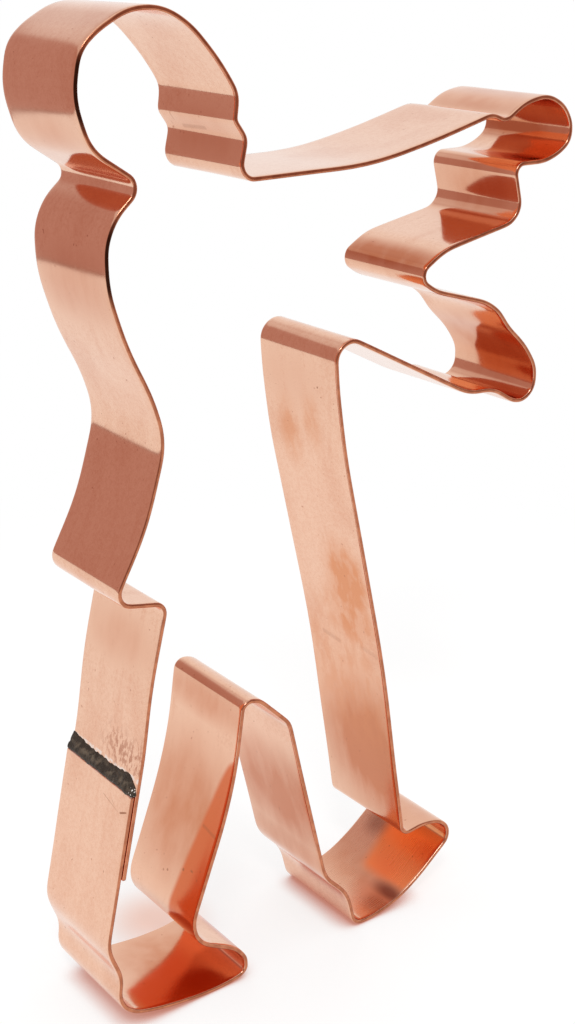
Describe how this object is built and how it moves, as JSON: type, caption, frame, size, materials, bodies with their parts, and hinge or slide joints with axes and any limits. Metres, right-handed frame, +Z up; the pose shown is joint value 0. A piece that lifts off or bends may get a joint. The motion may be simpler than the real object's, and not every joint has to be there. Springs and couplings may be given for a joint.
{
  "type": "cookie cutter",
  "caption": "Cookie cutter of bent copper strip in the outline of a walking figure with both arms held forward, open front and back, its ends lapped and soldered on the rear leg.",
  "frame": {"origin": "middle of the bounding box on the surface that the figure stands on", "axes": "+X the way the figure walks, +Y across the strip from one open side to the other, +Z up"},
  "size_m": [0.0894, 0.019, 0.1505],
  "materials": {
    "copper": "bright rolled copper, lightly smudged",
    "solder": "dull grey-brown soft solder, lumpy"
  },
  "bodies": {
    "root": {"copper_strip": "copper", "solder_seam": "solder"}
  },
  "joints": []
}
